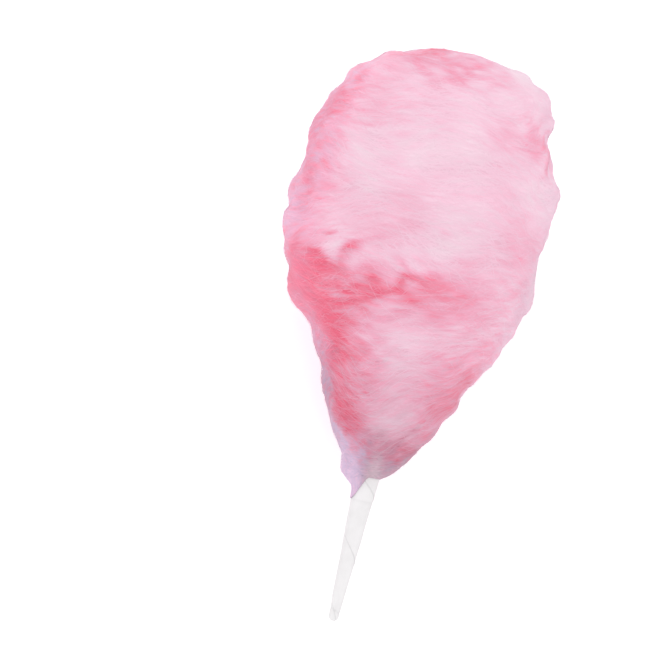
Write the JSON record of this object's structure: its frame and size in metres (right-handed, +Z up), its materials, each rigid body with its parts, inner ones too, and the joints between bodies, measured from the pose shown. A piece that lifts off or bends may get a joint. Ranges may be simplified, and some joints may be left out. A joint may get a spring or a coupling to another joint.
{
  "type": "cotton candy on a paper cone",
  "caption": "Cotton candy: a pear-shaped mass of pink spun sugar floss wound on a slim white rolled paper cone, lying on its side.",
  "frame": {"origin": "bottom centre of the bounding box, on the surface the candy lies on", "axes": "+Y along the candy as it lies, from the cone's tip towards the floss's crown; +Z up, the shown side; +X to the right of the shown side"},
  "size_m": [0.1874, 0.4014, 0.1929],
  "materials": {
    "spun_sugar": "soft matt sugar fibres with a faint silky sheen, pale pink clouded with deeper coral pink",
    "white_paper": "smooth matt white rolled paper"
  },
  "bodies": {
    "root": {"floss": "spun_sugar", "paper_cone": "white_paper"}
  },
  "joints": []
}
